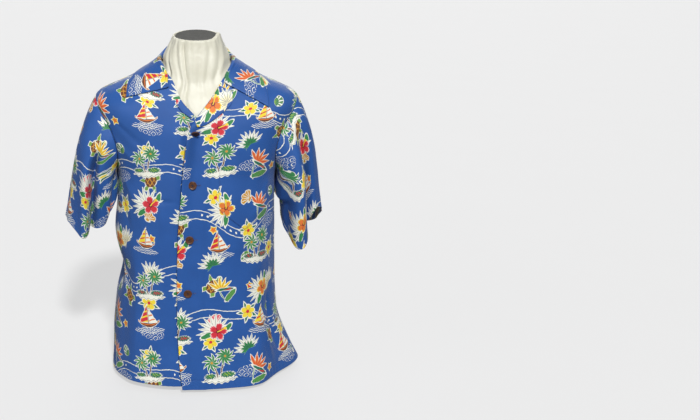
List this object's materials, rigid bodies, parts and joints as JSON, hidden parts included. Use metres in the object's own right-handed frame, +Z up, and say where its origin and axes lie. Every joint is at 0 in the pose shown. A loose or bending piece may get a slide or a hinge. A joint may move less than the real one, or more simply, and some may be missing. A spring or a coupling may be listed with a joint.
{
  "type": "hawaiian shirt on a dress form",
  "caption": "Short-sleeved hawaiian shirt with an open notched collar, chest pocket and straight hem, buttoned on a limbless dress form.",
  "frame": {"origin": "middle of the dress form's flat base, on the surface that it stands on", "axes": "+X to the wearer's left, +Y to the back, +Z up; the front faces -Y"},
  "size_m": [0.568, 0.3043, 0.7585],
  "materials": {
    "printed_cloth": "silky printed rayon, soft sheen",
    "button_wood": "polished dark coconut shell",
    "form_satin": "cream satin cover, soft folds",
    "form_cap": "matt grey"
  },
  "bodies": {
    "root": {"front_left": "printed_cloth", "front_right": "printed_cloth", "back": "printed_cloth", "yoke": "printed_cloth", "sleeve_left": "printed_cloth", "sleeve_right": "printed_cloth", "collar": "printed_cloth", "lapel_left": "printed_cloth", "lapel_right": "printed_cloth", "pocket": "printed_cloth", "button_1": "button_wood", "button_2": "button_wood", "button_3": "button_wood", "button_4": "button_wood", "form_torso": "form_satin", "form_neck_cap": "form_cap"}
  },
  "joints": []
}
